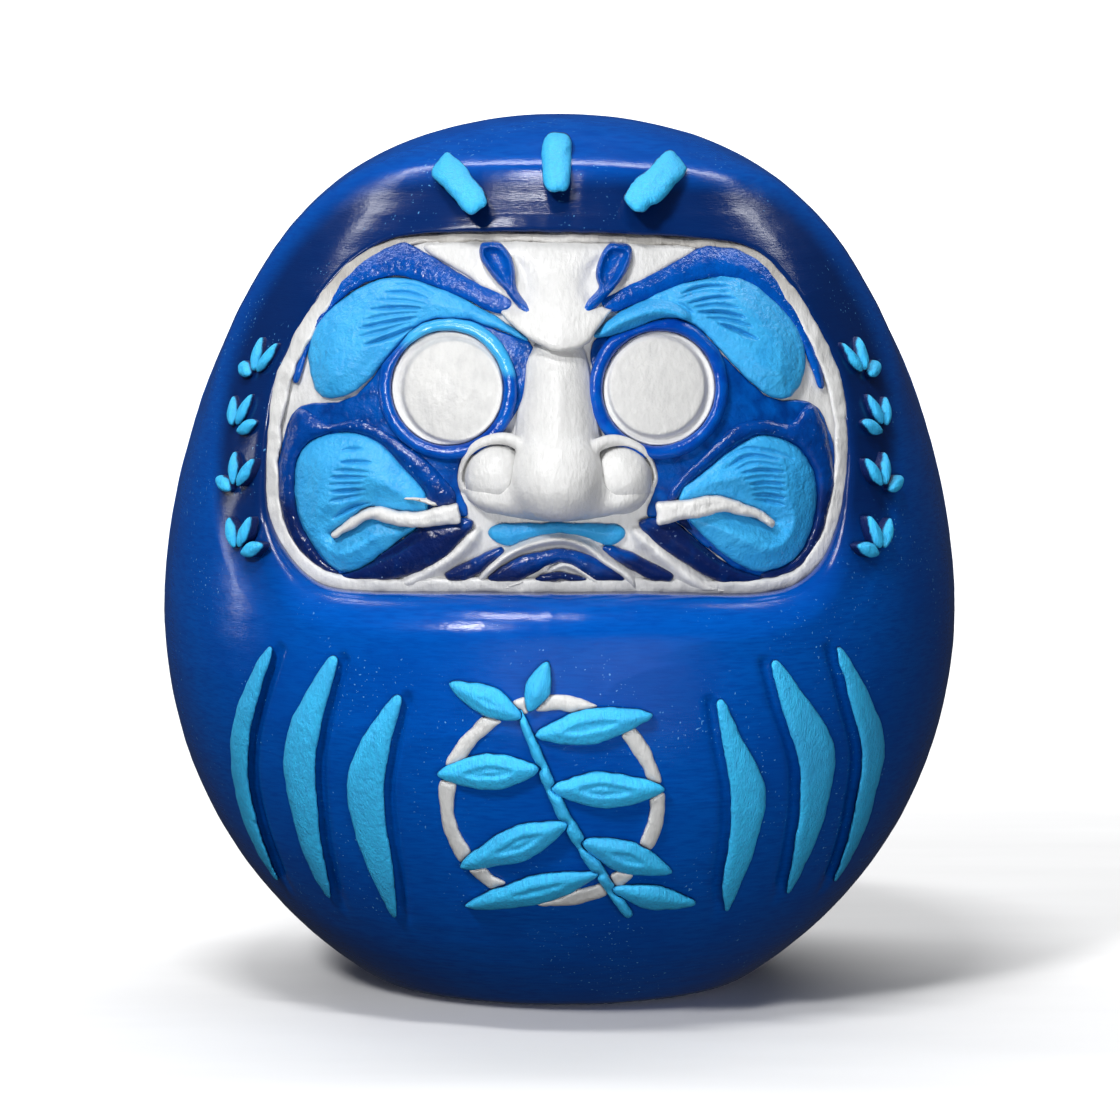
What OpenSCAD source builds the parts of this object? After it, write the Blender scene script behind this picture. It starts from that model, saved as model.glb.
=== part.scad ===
// Daruma doll: a hollow round shell in two halves with a recessed face and built-up relief pieces.
// The origin is the centre of the flat base, the face looks along -Y and +Z is up.
// Outlines are drawn in front view as [x, z]; brush strokes are [x, z, width].

/* [Body profile] */
// Radius of the crown of the head
crown_r = 97.5; // [95:0.5:100]
// Radius of the curve from crown to flank
shoulder_r = 55; // [53:0.5:57]
// Radius of the long, nearly straight flank
flank_r = 131.5; // [129:0.5:134]
// Radius of the belly
belly_r = 90.5; // [89:0.5:92]
// Radius of the edge round the flat base
foot_r = 25; // [24:0.5:26]

/* [Shells] */
// Wall thickness of the two shells
wall = 3.5; // [3:0.1:4]
// Width of the lip that laps inside the front shell
lap_len = 6; // [4:0.5:8]
// Thickness of that lip
lap_t = 1.6; // [1.2:0.1:2]
// Height of the clay weight above the floor
ballast_top = 24; // [18:1:28]
// Radius of the plate that closes the base
plate_r = 30; // [26:0.5:30.5]
// Radius of the soft fold along the hood
fold_r = 7; // [6:0.5:8]

/* [Face] */
// Radius of the face surface
face_r = 90; // [89:0.5:91]
// Thickness of the face plate
face_t = 3; // [2.4:0.1:3.6]
// Width of the white rim round the face
rim_w = 1.9; // [1.5:0.1:2.2]
// Radius of each eye disc
eye_r = 11; // [10:0.25:11.5]
// Width of the raised ring round each eye
eye_ring_w = 2.8; // [2:0.1:3]

/* [Relief heights] */
// Height of the dark pads under the eyes and cheeks
pad_h = 0.8; // [0.6:0.1:1.2]
// Height of the thin relief: forehead, crests, lip and beard
low_h = 2; // [1.6:0.1:2.4]
// Height of the eyes, leaves and moustaches
mid_h = 2.6; // [2.4:0.1:3]
// Height of the brow and cheek fans
fan_h = 3.4; // [3:0.1:4]
// Height of the whiskers
whisker_h = 4.2; // [4:0.1:4.6]
// Height of the relief on hood, sides and belly
body_h = 1.8; // [1.2:0.1:2.2]
// Height of the leaf spray on the belly
spray_h = 2.6; // [2.4:0.1:3]

/* [Hidden] */

GAP = 0.05;             // glue line between a relief piece and what it sits on
SMOOTH = 3;             // steps between two outline points
FINE = 144;             // facets used for the preview of round bodies
BALL_FINE = 48;         // facets used for the preview of the nose
FAR = 120;              // reach of a cutting prism in front of the doll
BLUE = [0.02, 0.2, 0.62];
SKY = [0.2, 0.62, 0.9];
NAVY = [0.05, 0.12, 0.42];
WHITE = [0.92, 0.92, 0.92];
CLAY = [0.55, 0.42, 0.33];

// The profile is a chain of tangent arcs from the crown to the foot. Each arc runs between two
// of these directions, which are exact decimals so that neighbouring arcs meet exactly.
radii = [crown_r, shoulder_r, flank_r, belly_r, foot_r];
ways = [[0, 1], [0.28, 0.96], [0.8, 0.6], [1, 0], [0.6, -0.8], [0, -1]];
hops = [for (i = [0:3]) (radii[i + 1] - radii[i]) * ways[i + 1]];
foot_x = -(hops[0].x + hops[1].x + hops[2].x + hops[3].x);
function centre(i) = i == 4 ? [foot_x, foot_r] : centre(i + 1) + hops[i];
function joint(i, t) = centre(i) + (radii[i] + t) * ways[i + 1];
height = centre(0).y + crown_r;

face_front = 67;                            // how far forward of the axis the face surface reaches
face_c = [0, face_r - face_front, 100];     // centre of the ball that the face surface belongs to
fold_c = [0, -40.8, 106];                   // centre of the hood fold
fold_ring_r = 56;                           // radius of the ring that the fold follows
lap_bite = 0.5;                             // how deep the lap lip is rooted in the back shell
lap_root = 1;                               // how far its thin part runs back past the seam
lap_clear = 1;                              // gap between the lap lip and the clay weight
rim_inset = 0.6;                            // how far the rim stays below the shell's surface

nose_tip = [-0.5, -69, 110.5];
nose_tip_r = 9;
bridge_len = 26;
bridge_r = [8.8, 6];                        // radius of the bridge at the tip and at the forehead
bridge_lean = 28;
wing_c = [12, -65, 110];                    // centre of a nostril wing, before it is mirrored
wing_shift = -0.3;
wing_r = 7.6;

// Closed and open Catmull-Rom curves through hand-placed points.
function spline(a, b, c, d, t) = 0.5 * (2 * b + (c - a) * t
    + (2 * a - 5 * b + 4 * c - d) * t * t + (3 * b - a - 3 * c + d) * t * t * t);
function wrap(p, i) = p[(i + len(p)) % len(p)];
function stop(p, i) = p[max(0, min(len(p) - 1, i))];
function loop(p) = [for (i = [0 : len(p) - 1], k = [0 : SMOOTH - 1])
    spline(wrap(p, i - 1), p[i], wrap(p, i + 1), wrap(p, i + 2), k / SMOOTH)];
function path(p) = concat([for (i = [0 : len(p) - 2], k = [0 : SMOOTH - 1])
    spline(stop(p, i - 1), p[i], p[i + 1], stop(p, i + 2), k / SMOOTH)], [p[len(p) - 1]]);

function dir(a) = [cos(a), sin(a)];

// Moves an anticlockwise outline outwards by d.
function unit(v) = v / norm(v);
function grow(p, d) = [for (i = [0 : len(p) - 1])
    let (t = unit(wrap(p, i + 1) - wrap(p, i - 1))) p[i] + d * [t.y, -t.x]];

// Outline of a brush stroke along a path whose third value is the width.
function stroke(p) = let (c = path(p), n = len(c) - 1,
    half = [for (i = [0:n]) let (t = unit([for (k = [0, 1]) stop(c, i + 1)[k] - stop(c, i - 1)[k]]))
        c[i].z / 2 * [-t.y, t.x]])
    concat([for (i = [0:n]) [c[i].x, c[i].y] + half[i]],
        [for (i = [n:-1:0]) [c[i].x, c[i].y] - half[i]]);

// Leaf of length l and width w from a point, turned to angle a.
function leaf(at, a, l, w) = let (u = dir(a), v = dir(a + 90))
    loop([at, at + 0.3 * l * u - 0.42 * w * v, at + 0.6 * l * u - 0.46 * w * v, at + l * u,
        at + 0.6 * l * u + 0.46 * w * v, at + 0.3 * l * u + 0.42 * w * v]);

opening = loop([[0, 157.5], [-15.5, 157.5], [-31.5, 156.5], [-41.5, 151.5], [-49.5, 141.5],
    [-56, 128], [-58, 115.5], [-58, 103.5], [-55, 95.5], [-49, 89.5], [-41, 87.5], [-15.5, 88],
    [17.5, 88], [36, 87], [47, 88.5], [53.5, 95.5], [56.5, 107], [57, 118.5], [54, 132.5],
    [45, 148], [36, 155], [16, 157]]);
rim_inner = grow(opening, -rim_w);

forehead = loop([[0, 157], [-16, 157], [-27.5, 154.5], [-17.5, 148.5], [-10.5, 141], [-5, 136.5],
    [0, 135], [6, 136.5], [9.5, 141.5], [18.5, 149], [28, 154.5], [16, 156.5]]);
nose_edge = loop([[-5, 134], [-6, 127], [-10, 119.5], [-17, 116], [-19.3, 110], [-17.5, 103.5],
    [-10, 101.5], [0, 101.8], [10, 101.5], [16.5, 103.5], [18.3, 110], [15.5, 116], [8.5, 119.5],
    [6, 127], [5.5, 134]]);
lip = loop([[-14, 99.5], [-10.5, 97], [-6, 98.5], [0, 99.5], [6, 98.5], [10, 97], [13, 99.5],
    [10, 101.8], [0, 102.2], [-10.5, 101.8]]);

left_eye = [-22, 127.5];
right_eye = [19.5, 127.5];
left_pad = loop([[-51.5, 123], [-55, 116], [-56, 104.5], [-50, 91], [-38.5, 88], [-25.5, 94],
    [-18, 101.5], [-20, 110], [-17.5, 116.5], [-10.5, 120], [-6, 129], [-6, 137], [-17.5, 141.5],
    [-30.5, 137.5], [-40, 125.5]]);
right_pad = loop([[49.5, 124], [40.5, 125.5], [29.5, 137.5], [20, 141.5], [8, 138], [6, 132],
    [8.5, 121], [15.5, 116.5], [19, 110], [17, 101.5], [25.5, 93], [38.5, 87], [50.5, 92.5],
    [55, 107.5], [53.5, 118.5]]);
left_fan = loop([[-6, 136.5], [-11, 140.5], [-23, 146.5], [-33.5, 148.5], [-41, 145.5],
    [-48.5, 139], [-50, 131.5], [-47, 125], [-40, 126.5], [-33.5, 133.5], [-27, 140],
    [-17.5, 140.5]]);
right_fan = loop([[6.5, 137.5], [11.5, 138], [21, 141], [26.5, 139.5], [32, 134], [39.5, 126.5],
    [46, 125], [49, 132.5], [46, 140.5], [36, 148.5], [24, 147.5], [11.5, 142]]);
left_crest = loop([[-52.5, 128], [-48.5, 139], [-42, 146], [-33, 149.5], [-23, 147], [-12, 142.5],
    [-9.5, 144.5], [-17.5, 147.5], [-26.5, 152.5], [-33, 155], [-41.5, 151], [-48, 142.5]]);
right_crest = loop([[8.5, 144.5], [11.5, 143], [24, 148], [32, 149], [40.5, 146], [47.5, 138.5],
    [52, 127], [48.5, 140.5], [42.5, 149], [33.5, 154.5], [27.5, 153.5], [18, 148.5]]);
left_leaf = loop([[-14, 157], [-16, 154], [-14.5, 150.5], [-9.5, 145], [-5.6, 140.6],
    [-4.6, 142.2], [-8.2, 146], [-9.5, 153]]);
right_leaf = loop([[12, 156.5], [8.5, 154], [7, 149.5], [7.6, 146], [3.2, 142.2], [4.4, 140.8],
    [9.3, 145.2], [13, 149.5], [14.5, 154]]);
left_ridge = loop([[-51.5, 123], [-54, 118], [-56, 108.5], [-54.5, 98.5], [-50, 91], [-42, 88],
    [-35.5, 90], [-25.5, 94], [-19.5, 104.5], [-24.5, 112], [-29.5, 116], [-38.5, 121],
    [-45.5, 120]]);
right_ridge = loop([[49.5, 124], [45.5, 120], [40.5, 121], [34.5, 120], [27, 113.5],
    [20.5, 105.5], [25.5, 94], [38.5, 87.5], [49, 91.5], [54, 101.5], [54.5, 110.5],
    [52.5, 119.5]]);
left_cheek = loop([[-52, 112.5], [-52, 102], [-47, 93.5], [-41.5, 91], [-32.5, 96],
    [-25.5, 104.5], [-30.5, 112], [-36, 117], [-41.5, 118.5], [-48, 117]]);
right_cheek = loop([[40.5, 118], [35.5, 116.5], [30, 112.5], [23, 105.5], [32, 95], [40.5, 91],
    [48.5, 95.5], [51, 107.5], [47.5, 115]]);
left_whisker_line = stroke([[-45, 98, 1], [-41, 100.5, 2], [-37, 103, 2.2], [-31, 102, 2.5],
    [-25.5, 102.3, 2.5], [-20, 103.3, 3]]);
right_whisker_line = stroke([[42, 100.5, 1], [39, 102.5, 1.6], [35, 104, 1.8], [30.5, 105, 2.5],
    [26.5, 104.2, 3], [19.5, 103.5, 3]]);
left_lash = loop([[-16.5, 102], [-24.5, 102], [-31.5, 97.5], [-39, 91.8], [-44.5, 89.6],
    [-41, 88], [-27.5, 91.5], [-20.5, 96.5]]);
right_lash = loop([[15.5, 102], [17.5, 98.5], [23.5, 94], [32.5, 89], [40.5, 89.5], [34.5, 92],
    [28.5, 96.5], [22, 102]]);
left_bar = stroke([[-11, 96.5, 1.2], [-15.5, 93.5, 3.2], [-22, 89.8, 3.6]]);
right_bar = stroke([[8.5, 97, 1.2], [14, 94, 3.2], [22, 89.8, 3.2]]);
arch = stroke([[-13.5, 89.5, 3], [-8.5, 92.2, 4.6], [0, 95.3, 2.4], [7.5, 92.4, 4.4],
    [12, 89.5, 3]]);
tuft = stroke([[-6.5, 88.6, 1.6], [-3, 90.2, 2.4], [0.5, 91.2, 1.4], [4, 90, 2.4],
    [7, 88.6, 1.6]]);

hood_lines = [
    stroke([[-24, 171, 5], [-20, 167, 4.8], [-16, 162.5, 4]]),
    stroke([[-0.5, 176, 4.2], [-0.5, 171, 5], [-0.5, 166, 4]]),
    stroke([[24, 171.5, 5], [19, 167, 5], [14.5, 162.5, 4.2]])
];
stripe_lines = [
    stroke([[-56.5, 77, 1], [-60, 69.5, 3], [-63.5, 58.5, 4], [-64, 47.5, 3.5], [-61.5, 35.5, 3],
        [-56.5, 23.5, 0.5]]),
    stroke([[-43.5, 76, 1.5], [-47.5, 67.5, 4.5], [-51, 57, 6.5], [-51, 46.5, 6], [-49, 33.5, 4],
        [-45, 21, 0.5]]),
    stroke([[-31, 69, 1.5], [-35.5, 59.5, 5.5], [-38, 50, 7.5], [-37, 39.5, 6.5], [-34.5, 29, 4],
        [-32.5, 19.5, 0.5]]),
    stroke([[31, 68.5, 1.5], [33.5, 59.5, 4], [37, 49, 7], [36, 37.5, 5.5], [34, 29, 3.5],
        [33, 21, 0.5]]),
    stroke([[41.5, 75.5, 1.5], [45.5, 67, 5], [50.5, 56, 7.5], [50.5, 45.5, 6], [48.5, 35, 4],
        [45, 23, 0.5]]),
    stroke([[54.5, 77.5, 1], [59, 66.5, 4], [62.5, 55.5, 5], [61.5, 45, 4], [59, 34, 3],
        [54.5, 23, 0.5]])
];

ring_c = [-1.5, 47.5];                      // centre of the round belly badge
ring_r = 22;
ring_w = 3;
stem_line = stroke([[14, 23, 1.6], [8, 33, 2.6], [1, 45, 2.4], [-4, 57, 2.2], [-8, 67, 1.2]]);
// Leaves of the belly spray: base point, angle, length, width.
spray = [
    [[-7, 65], 155, 16, 6], [[-6, 66], 70, 11, 5], [[-5, 61.5], 10, 24, 7],
    [[-3.5, 55], 185, 21, 7.5], [[-2, 51], -2, 23, 7.5], [[2, 44], 205, 24, 7.5],
    [[4, 40], -22, 20, 7], [[8, 33], 196, 28, 6.5], [[10, 29.5], -14, 18, 5.5]
];
// Side sprigs: height of each of the four on a side, and the turn about Z that faces it. The turns
// keep every leaf on the shell, clear of the face opening.
sprig_heights = [128, 117, 105.5, 93.5];
sprig_turns = [58, 59, 55, 52];
sprig_leaf = [7.2, 3.1];                    // length and width of one leaf
sprig_spread = 52;                          // angle between two leaves of a sprig
sprig_tilt = 20;                            // lean of a sprig, to the left and right in turn
sprig_hub = 1.4;                            // gap between a sprig's middle and its leaves

module profile(t) {
    intersection() {
        translate([0, -t])
            square([2 * belly_r, height + 2 * t]);
        union() {
            polygon(concat([[0, -t], [foot_x, -t]], [for (i = [3:-1:0]) joint(i, t)],
                [[0, height + t]]));
            for (i = [0:4])
                intersection() {
                    translate(centre(i))
                        circle(radii[i] + t, $fn = FINE);
                    polygon([for (v = [[0, 0], ways[i], ways[i + 1]]) centre(i) + 2 * FAR * v]);
                }
        }
    }
}

module egg(t = 0)
    rotate_extrude($fn = FINE)
        profile(t);

module face_ball(t)
    translate(face_c)
        sphere(face_r + t, $fn = FINE);

module prism(outline)
    rotate([90, 0, 0])
        linear_extrude(FAR)
            polygon(outline);

module disc_prism(at, r)
    translate([at.x, 0, at.y])
        rotate([90, 0, 0])
            cylinder(h = FAR, r = r, $fn = FINE / 2);

// Half of the revolved body, or of the skin between two offsets: in front (-1) or behind (1).
module half_turn(side)
    translate([0, side * GAP, 0])
        rotate([0, 0, side < 0 ? 180 : 0])
            rotate_extrude(angle = 180, $fn = FINE)
                children();

// A relief piece on the face between heights low and high, inside the white rim.
module on_face(outline, low, high)
    intersection() {
        difference() {
            face_ball(high);
            face_ball(low);
        }
        prism(outline);
        prism(grow(rim_inner, -GAP));
    }

// Relief on the front of the body: the outlines given as prisms, up to a height.
module on_body(high)
    intersection() {
        half_turn(-1)
            difference() {
                profile(high);
                profile(GAP);
            }
        union()
            children();
    }

module hood_fold()
    translate(fold_c)
        rotate([90, 0, 0])
            rotate_extrude($fn = FINE)
                translate([fold_ring_r, 0])
                    circle(fold_r, $fn = FINE / 3);

module plate_hole()
    cylinder(h = 4 * wall, r = plate_r + GAP, center = true, $fn = FINE);

module front_shell()
    color(BLUE)
        difference() {
            union() {
                half_turn(-1)
                    profile(0);
                hood_fold();
            }
            difference() {
                egg(-wall);
                difference() {
                    prism(grow(opening, wall));
                    face_ball(-face_t - GAP);
                }
            }
            prism(opening);
            plate_hole();
        }

// Band of the inner lining between offsets -wall - lap_t and outer, from y0 to y1, clear of the weight.
module lap_band(outer, y0, y1)
    intersection() {
        difference() {
            egg(outer);
            egg(-wall - lap_t);
        }
        translate([-FAR, y0, ballast_top + lap_clear])
            cube([2 * FAR, y1 - y0, 2 * FAR]);
    }

module back_shell()
    color(BLUE) {
        difference() {
            half_turn(1)
                profile(0);
            egg(-wall);
            plate_hole();
        }
        lap_band(-wall + lap_bite, GAP, lap_len);
        lap_band(-wall - GAP, -lap_len, lap_root);
    }

module base_plate()
    color(WHITE)
        cylinder(h = wall, r = plate_r, $fn = FINE);

module ballast_weight()
    color(CLAY)
        intersection() {
            egg(-wall - GAP);
            translate([0, 0, wall + GAP])
                cylinder(h = ballast_top - wall, r = FAR, $fn = FINE);
        }

module face_plate()
    color(WHITE)
        intersection() {
            difference() {
                face_ball(0);
                face_ball(-face_t);
            }
            prism(grow(opening, -GAP));
        }

module face_rim()
    color(WHITE)
        difference() {
            intersection() {
                egg(-rim_inset);
                prism(grow(opening, -GAP));
            }
            prism(rim_inner);
            face_ball(GAP);
        }

module forehead_pad()
    color(WHITE)
        difference() {
            on_face(forehead, GAP, low_h);
            prism(left_crest);
            prism(right_crest);
            prism(left_fan);
            prism(right_fan);
        }

// Bridge and tip of the nose: a ball with a tapered bridge that leans back to the forehead.
module nose_core()
    intersection() {
        union() {
            translate(nose_tip)
                sphere(nose_tip_r, $fn = BALL_FINE);
            translate(nose_tip)
                rotate([-bridge_lean, 0, 0])
                    cylinder(h = bridge_len, r1 = bridge_r[0], r2 = bridge_r[1], $fn = BALL_FINE);
        }
        prism(nose_edge);
    }

module nose()
    color(WHITE)
        difference() {
            nose_core();
            face_ball(GAP);
            prism(forehead);
        }

module nostril_wing(side)
    color(WHITE)
        difference() {
            intersection() {
                translate([side * wing_c.x + wing_shift, wing_c.y, wing_c.z])
                    sphere(wing_r, $fn = BALL_FINE);
                prism(nose_edge);
            }
            nose_core();
            face_ball(GAP);
        }

module upper_lip()
    color(SKY)
        difference() {
            on_face(lip, GAP, low_h);
            prism(nose_edge);
        }

module cheek_pad(pad, eye, fan, lash, whisker)
    color(NAVY)
        difference() {
            on_face(pad, GAP, pad_h);
            disc_prism(eye, eye_r + GAP);
            prism(nose_edge);
            prism(forehead);
            prism(fan);
            prism(lash);
            prism(whisker);
        }

module eye_disc(eye)
    color(WHITE)
        intersection() {
            difference() {
                face_ball(mid_h);
                face_ball(GAP);
            }
            disc_prism(eye, eye_r);
        }

module eye_ring(eye, fan)
    color(BLUE)
        difference() {
            intersection() {
                difference() {
                    face_ball(mid_h);
                    face_ball(pad_h + GAP);
                }
                disc_prism(eye, eye_r + eye_ring_w);
            }
            disc_prism(eye, eye_r + GAP);
            prism(fan);
            prism(forehead);
        }

module brow_fan(fan)
    color(SKY)
        on_face(fan, GAP, fan_h);

module brow_crest(crest, fan)
    color(BLUE)
        difference() {
            on_face(crest, GAP, low_h);
            prism(fan);
        }

module brow_leaf(outline)
    color(BLUE)
        on_face(outline, low_h + GAP, low_h + mid_h / 2);

module cheek_ridge(ridge, cheek, lash, whisker, eye)
    color(NAVY)
        difference() {
            on_face(ridge, pad_h + GAP, low_h);
            prism(cheek);
            prism(lash);
            prism(whisker);
            prism(nose_edge);
            disc_prism(eye, eye_r + eye_ring_w);
        }

module cheek_fan(cheek, lash, whisker)
    color(SKY)
        difference() {
            on_face(cheek, pad_h + GAP, fan_h);
            prism(lash);
            prism(whisker);
        }

module whisker(line)
    color(WHITE)
        difference() {
            on_face(line, GAP, whisker_h);
            prism(nose_edge);
        }

module moustache(lash, line)
    color(NAVY)
        difference() {
            on_face(lash, GAP, mid_h);
            prism(line);
            prism(nose_edge);
        }

module beard_bar(bar)
    color(NAVY)
        difference() {
            on_face(bar, GAP, low_h);
            prism(lip);
        }

module beard_arch()
    color(NAVY)
        difference() {
            on_face(arch, GAP, low_h);
            prism(left_bar);
            prism(right_bar);
        }

module beard_tuft()
    color(NAVY)
        difference() {
            on_face(tuft, GAP, low_h);
            prism(arch);
        }

module hood_strip(line)
    color(SKY)
        difference() {
            on_body(body_h)
                prism(line);
            hood_fold();
        }

module stripe(line)
    color(SKY)
        on_body(body_h)
            prism(line);

module spray_prisms()
    for (s = spray)
        prism(leaf(s[0], s[1], s[2], s[3]));

module belly_ring()
    color(WHITE)
        difference() {
            on_body(body_h)
                difference() {
                    disc_prism(ring_c, ring_r);
                    disc_prism(ring_c, ring_r - ring_w);
                }
            spray_prisms();
            prism(stem_line);
        }

module belly_stem()
    color(SKY)
        difference() {
            on_body(spray_h)
                prism(stem_line);
            spray_prisms();
        }

module belly_leaves()
    color(SKY)
        on_body(spray_h)
            spray_prisms();

// Column of sprigs on one side: three short leaves from one point, tilted left and right in turn.
module sprigs(side)
    color(SKY)
        on_body(body_h)
            for (i = [0:3])
                rotate([0, 0, side * sprig_turns[i]])
                    for (a = sprig_spread * [-1, 0, 1])
                        let (tilt = side * (i % 2 * 2 - 1) * sprig_tilt, turn = 90 + a + tilt)
                            prism(leaf([0, sprig_heights[i]] + sprig_hub * dir(turn), turn,
                                sprig_leaf.x, sprig_leaf.y));

front_shell();
back_shell();
base_plate();
ballast_weight();
face_plate();
face_rim();
forehead_pad();
nose();
nostril_wing(-1);  // left_nostril_wing
nostril_wing(1);  // right_nostril_wing
upper_lip();
cheek_pad(left_pad, left_eye, left_fan, left_lash, left_whisker_line);  // left_cheek_pad
cheek_pad(right_pad, right_eye, right_fan, right_lash, right_whisker_line);  // right_cheek_pad
eye_disc(left_eye);  // left_eye_disc
eye_disc(right_eye);  // right_eye_disc
eye_ring(left_eye, left_fan);  // left_eye_ring
eye_ring(right_eye, right_fan);  // right_eye_ring
brow_fan(left_fan);  // left_brow_fan
brow_fan(right_fan);  // right_brow_fan
brow_crest(left_crest, left_fan);  // left_brow_crest
brow_crest(right_crest, right_fan);  // right_brow_crest
brow_leaf(left_leaf);  // left_brow_leaf
brow_leaf(right_leaf);  // right_brow_leaf
cheek_ridge(left_ridge, left_cheek, left_lash, left_whisker_line, left_eye);  // left_cheek_ridge
cheek_ridge(right_ridge, right_cheek, right_lash, right_whisker_line, right_eye);  // right_cheek_ridge
cheek_fan(left_cheek, left_lash, left_whisker_line);  // left_cheek_fan
cheek_fan(right_cheek, right_lash, right_whisker_line);  // right_cheek_fan
whisker(left_whisker_line);  // left_whisker
whisker(right_whisker_line);  // right_whisker
moustache(left_lash, left_whisker_line);  // left_moustache
moustache(right_lash, right_whisker_line);  // right_moustache
beard_bar(left_bar);  // left_beard_bar
beard_bar(right_bar);  // right_beard_bar
beard_arch();
beard_tuft();
hood_strip(hood_lines[0]);  // hood_strip_left
hood_strip(hood_lines[1]);  // hood_strip_middle
hood_strip(hood_lines[2]);  // hood_strip_right
stripe(stripe_lines[0]);  // left_outer_stripe
stripe(stripe_lines[1]);  // left_middle_stripe
stripe(stripe_lines[2]);  // left_inner_stripe
stripe(stripe_lines[3]);  // right_inner_stripe
stripe(stripe_lines[4]);  // right_middle_stripe
stripe(stripe_lines[5]);  // right_outer_stripe
belly_ring();
belly_stem();
belly_leaves();
sprigs(-1);  // left_side_sprigs
sprigs(1);  // right_side_sprigs
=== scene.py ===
"""Looks of a daruma doll: a hollow blue shell, a recessed painted face and built-up clay relief.

Lengths are millimetres until a mesh is made. The face looks along -Y and +Z is up.
A relief piece takes its outline from its own CAD node, gets a thickness map and is meshed from a
distance field, so its edges are rounded and it sits on the face ball or on the body.
"""

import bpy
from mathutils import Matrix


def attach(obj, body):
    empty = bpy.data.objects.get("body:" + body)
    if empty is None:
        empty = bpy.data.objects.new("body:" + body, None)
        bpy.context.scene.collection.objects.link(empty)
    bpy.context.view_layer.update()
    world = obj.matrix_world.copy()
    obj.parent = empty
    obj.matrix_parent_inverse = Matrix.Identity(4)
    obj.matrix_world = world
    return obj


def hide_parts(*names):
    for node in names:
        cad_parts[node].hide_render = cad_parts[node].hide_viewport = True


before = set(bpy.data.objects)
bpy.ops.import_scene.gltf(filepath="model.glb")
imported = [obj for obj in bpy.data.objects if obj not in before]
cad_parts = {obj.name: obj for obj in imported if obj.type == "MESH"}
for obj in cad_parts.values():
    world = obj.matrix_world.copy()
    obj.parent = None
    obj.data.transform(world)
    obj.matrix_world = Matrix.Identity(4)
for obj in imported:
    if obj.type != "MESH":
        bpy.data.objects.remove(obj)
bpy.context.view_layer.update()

from math import cos, radians, sin

import bpy
import numpy as np
import openvdb
from mathutils import Vector

MM = 0.001

# ---- Driving dimensions ----
HEIGHT = 180.0
ARC_R = (92.0, 60.0, 151.0, 88.5, 14.0)      # tangent arcs from the crown to the foot
ARC_TURN = (90, 73, 31, 5, -58, -90)         # angles between which each arc runs
FACE_C = (0.0, 23.0, 100.0)                  # ball that the face surface belongs to
FACE_R = 90.0
NOSE_X = -0.5
EYES = {"left": (-22.0, 127.5), "right": (19.7, 127.5)}
EYE_SHIFT = {"left": (1.1, -0.4), "right": (-0.6, 0.4)}    # disc centre against its dish
EYE_DISC_R = {"left": 10.0, "right": 9.75}
OPENING_C = (0.0, 120.0)                     # middle of the face opening, as (x, z)
# Hood fold: distance of its crest from the opening, half width and height.
FOLD_OUT, FOLD_WIDE, FOLD_HIGH = 12.5, 3.2, 1.3
HOLLOW_OUT = 12.0                            # how far the dip round the opening reaches
SPRIG_TURN = 56                              # degrees by which the sprigs are laid flat and rebuilt
BASE_TUCK = 0.92                             # how far the shells turn in under the base
SEAM_TUCK, SEAM_LAP = 0.994, 0.8             # front shell's edge, drawn in and past the seam

# ---- Paint colours, linear ----
BLUE = (0.000, 0.085, 0.44)
# BLUE_DARK is painted shade on the front shell, and partly a darker paint in the dip round the
# opening
BLUE_DARK = (0.002, 0.014, 0.085)
MID = (0.000, 0.088, 0.45)
NAVY = (0.004, 0.014, 0.090)
SKY = (0.045, 0.400, 0.780)
SKY_DARK = (0.025, 0.310, 0.690)
SKY_LIT = (0.045, 0.530, 0.930)
WHITE = (0.68, 0.68, 0.675)
SHADE = (0.33, 0.31, 0.28)


# ---- Noise and curves ----
def grain(scale, seed, *coords):
    """Smooth random field, about -1 to 1, over any number of coordinates in millimetres."""
    rng = np.random.default_rng(seed)
    n = 32                                   # cells before the field repeats
    table = rng.uniform(-1, 1, (n,) * len(coords)).astype(np.float32)
    cells, parts = [], []
    for c in coords:
        q = np.asarray(c, np.float32) / scale
        i = np.floor(q).astype(np.int64)
        f = q - i
        cells.append(i % n)
        parts.append(f * f * (3 - 2 * f))
    total = 0.0
    for corner in range(2 ** len(coords)):
        weight, index = 1.0, []
        for k in range(len(coords)):
            bit = corner >> k & 1
            weight = weight * (parts[k] if bit else 1 - parts[k])
            index.append((cells[k] + bit) % n)
        total = total + weight * table[tuple(index)]
    return total


def fractal(scale, seed, *coords):
    """Three sizes of grain on top of each other."""
    return sum(grain(scale / 2 ** k, seed + k, *coords) / 2 ** k for k in range(3)) / 1.4


def ramp(v, low, high):
    """Smooth step from 0 at low to 1 at high."""
    t = np.clip((v - low) / (high - low), 0, 1)
    return t * t * (3 - 2 * t)


def smax(a, b, k):
    """The larger of two distances, with a rounded corner of size k where they meet."""
    h = np.clip(0.5 + 0.5 * (a - b) / k, 0, 1)
    return b + (a - b) * h + k * h * (1 - h)


def smin(a, b, k):
    """The smaller of two distances, with the joint filled by a fillet of size k."""
    return -smax(-a, -b, k)


def curve(points, steps=8):
    """Points along a smooth open curve through given ones."""
    p = np.array(points, float)
    p = np.vstack([2 * p[0] - p[1], p, 2 * p[-1] - p[-2]])
    out = []
    for i in range(1, len(p) - 2):
        for t in np.linspace(0, 1, steps, endpoint=False):
            a, b, c, d = p[i - 1:i + 3]
            out.append(0.5 * (2 * b + (c - a) * t + (2 * a - 5 * b + 4 * c - d) * t * t
                              + (3 * b - a - 3 * c + d) * t ** 3))
    return np.array(out + [p[-2]])


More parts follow.
